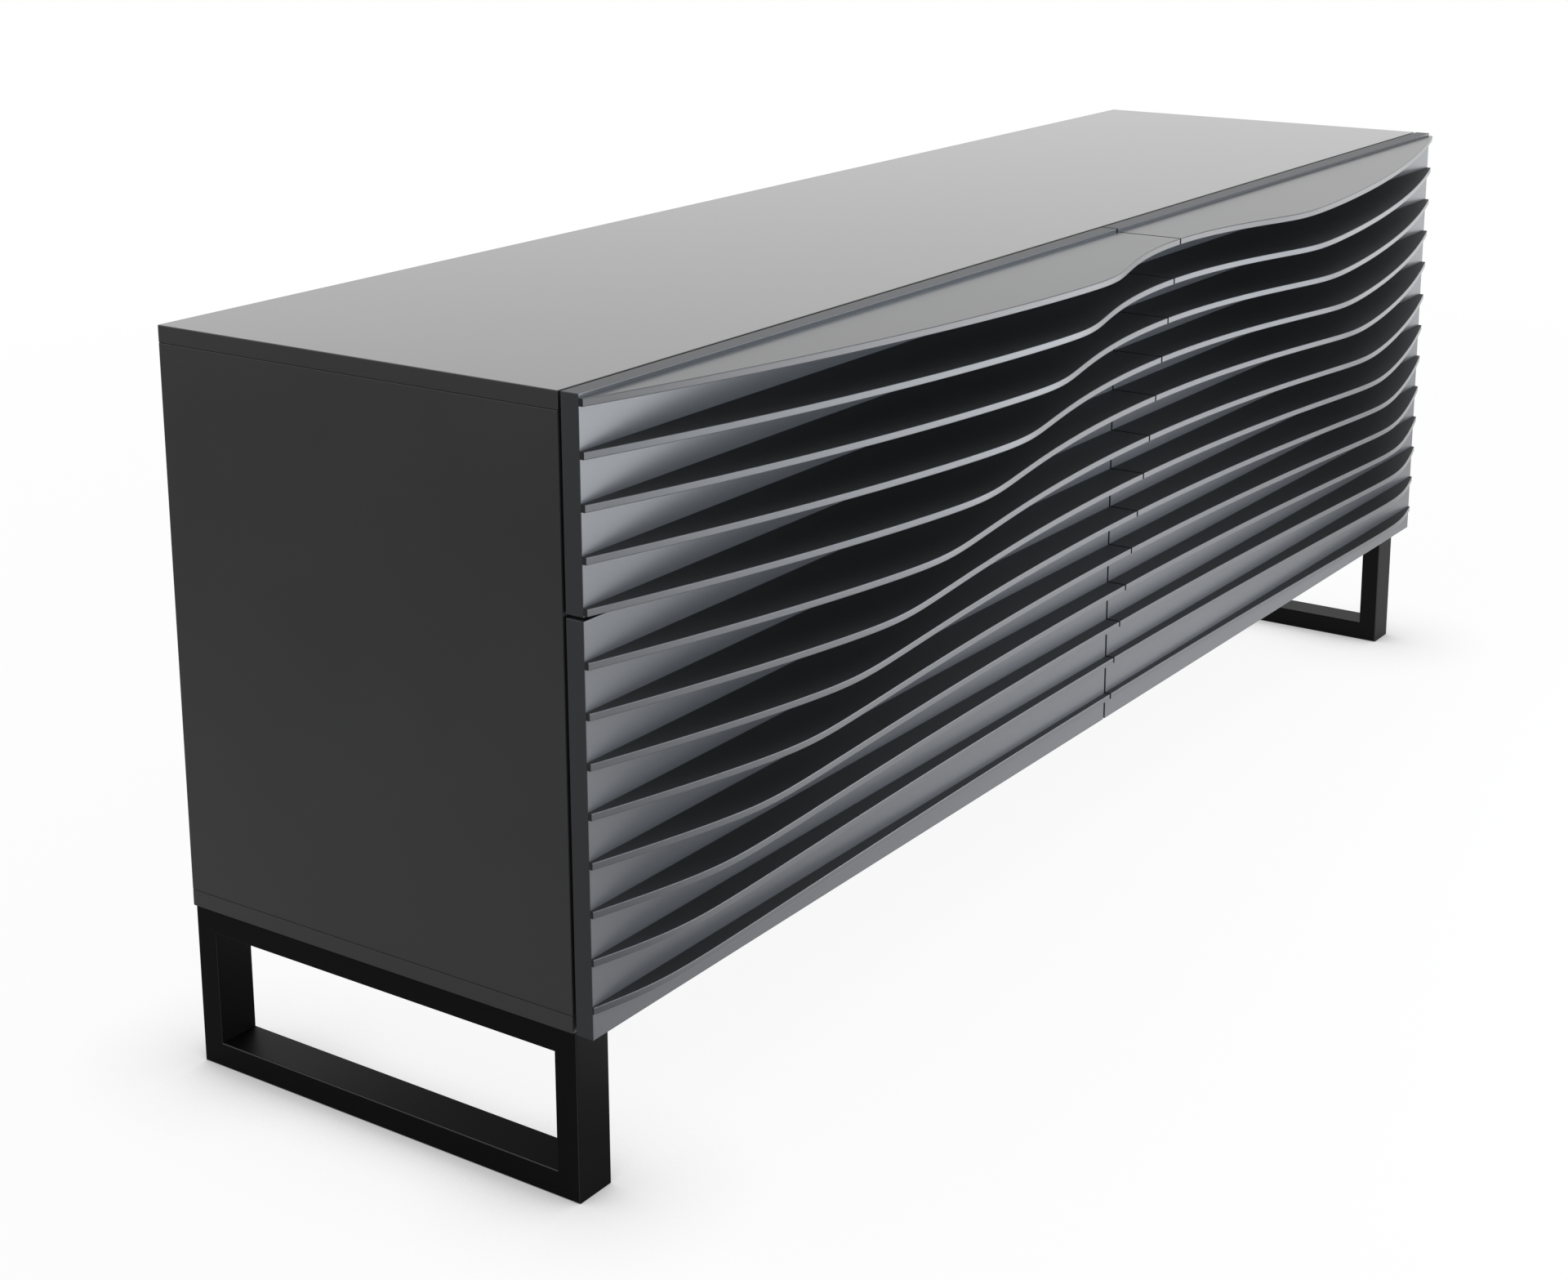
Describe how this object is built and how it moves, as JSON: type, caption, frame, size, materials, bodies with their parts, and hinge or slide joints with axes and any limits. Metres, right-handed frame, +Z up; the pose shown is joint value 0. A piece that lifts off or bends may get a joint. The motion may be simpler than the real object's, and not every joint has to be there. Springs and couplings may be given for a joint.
{
  "type": "sideboard",
  "caption": "Long low sideboard with drawers behind fronts of wavy horizontal ribs, on black steel sled legs; the drawers slide out on full-extension runners.",
  "frame": {"origin": "on the floor, in the middle of the overall length and depth, ribs included", "axes": "+X along the length, +Y from the fronts to the back, +Z up"},
  "size_m": [1.8, 0.5866, 0.705],
  "materials": {
    "carcass_lacquer": "satin anthracite lacquer on medium-density fibreboard",
    "front_lacquer": "satin anthracite lacquer on medium-density fibreboard",
    "drawer_board": "matt dark grey melamine-faced board",
    "leg_steel": "fine satin black powder coat on welded steel tube",
    "runner_steel": "bright zinc-plated cold-rolled steel",
    "screw_steel": "zinc-plated steel"
  },
  "bodies": {
    "carcass": {"top_panel": "carcass_lacquer", "bottom_panel": "carcass_lacquer", "left_side_panel": "carcass_lacquer", "right_side_panel": "carcass_lacquer", "center_divider": "carcass_lacquer", "back_panel": "carcass_lacquer", "leg_screws": "screw_steel", "left_leg_frame": "leg_steel", "right_leg_frame": "leg_steel", "cabinet_runners": "runner_steel"},
    "upper_left_drawer": {"upper_left_front": "front_lacquer", "upper_left_rib_1": "front_lacquer", "upper_left_rib_2": "front_lacquer", "upper_left_rib_3": "front_lacquer", "upper_left_rib_4": "front_lacquer", "upper_left_rib_5": "front_lacquer", "upper_left_front_screws": "screw_steel", "upper_left_drawer_box": "drawer_board", "upper_left_drawer_bottom": "drawer_board", "upper_left_runner_drawer": "runner_steel"},
    "upper_left_runner": {"upper_left_runner_middle": "runner_steel"},
    "upper_right_drawer": {"upper_right_front": "front_lacquer", "upper_right_rib_1": "front_lacquer", "upper_right_rib_2": "front_lacquer", "upper_right_rib_3": "front_lacquer", "upper_right_rib_4": "front_lacquer", "upper_right_rib_5": "front_lacquer", "upper_right_front_screws": "screw_steel", "upper_right_drawer_box": "drawer_board", "upper_right_drawer_bottom": "drawer_board", "upper_right_runner_drawer": "runner_steel"},
    "upper_right_runner": {"upper_right_runner_middle": "runner_steel"},
    "lower_left_drawer": {"lower_left_front": "front_lacquer", "lower_left_rib_1": "front_lacquer", "lower_left_rib_2": "front_lacquer", "lower_left_rib_3": "front_lacquer", "lower_left_rib_4": "front_lacquer", "lower_left_rib_5": "front_lacquer", "lower_left_rib_6": "front_lacquer", "lower_left_rib_7": "front_lacquer", "lower_left_rib_8": "front_lacquer", "lower_left_front_screws": "screw_steel", "lower_left_drawer_box": "drawer_board", "lower_left_drawer_bottom": "drawer_board", "lower_left_runner_drawer": "runner_steel"},
    "lower_left_runner": {"lower_left_runner_middle": "runner_steel"},
    "lower_right_drawer": {"lower_right_front": "front_lacquer", "lower_right_rib_1": "front_lacquer", "lower_right_rib_2": "front_lacquer", "lower_right_rib_3": "front_lacquer", "lower_right_rib_4": "front_lacquer", "lower_right_rib_5": "front_lacquer", "lower_right_rib_6": "front_lacquer", "lower_right_rib_7": "front_lacquer", "lower_right_rib_8": "front_lacquer", "lower_right_front_screws": "screw_steel", "lower_right_drawer_box": "drawer_board", "lower_right_drawer_bottom": "drawer_board", "lower_right_runner_drawer": "runner_steel"},
    "lower_right_runner": {"lower_right_runner_middle": "runner_steel"}
  },
  "joints": [
    {"name": "upper_left_drawer_slide", "type": "slide", "parent": "carcass", "child": "upper_left_drawer", "axis": [0, -1, 0], "range_m": [0, 0.4]},
    {"name": "upper_left_runner_slide", "type": "slide", "parent": "carcass", "child": "upper_left_runner", "axis": [0, -1, 0], "range_m": [0, 0.2]},
    {"name": "upper_right_drawer_slide", "type": "slide", "parent": "carcass", "child": "upper_right_drawer", "axis": [0, -1, 0], "range_m": [0, 0.4]},
    {"name": "upper_right_runner_slide", "type": "slide", "parent": "carcass", "child": "upper_right_runner", "axis": [0, -1, 0], "range_m": [0, 0.2]},
    {"name": "lower_left_drawer_slide", "type": "slide", "parent": "carcass", "child": "lower_left_drawer", "axis": [0, -1, 0], "range_m": [0, 0.4]},
    {"name": "lower_left_runner_slide", "type": "slide", "parent": "carcass", "child": "lower_left_runner", "axis": [0, -1, 0], "range_m": [0, 0.2]},
    {"name": "lower_right_drawer_slide", "type": "slide", "parent": "carcass", "child": "lower_right_drawer", "axis": [0, -1, 0], "range_m": [0, 0.4]},
    {"name": "lower_right_runner_slide", "type": "slide", "parent": "carcass", "child": "lower_right_runner", "axis": [0, -1, 0], "range_m": [0, 0.2]}
  ],
  "couplings": [
    {"joint": "upper_left_runner_slide", "follows": "upper_left_drawer_slide", "ratio": 0.5},
    {"joint": "upper_right_runner_slide", "follows": "upper_right_drawer_slide", "ratio": 0.5},
    {"joint": "lower_left_runner_slide", "follows": "lower_left_drawer_slide", "ratio": 0.5},
    {"joint": "lower_right_runner_slide", "follows": "lower_right_drawer_slide", "ratio": 0.5}
  ]
}
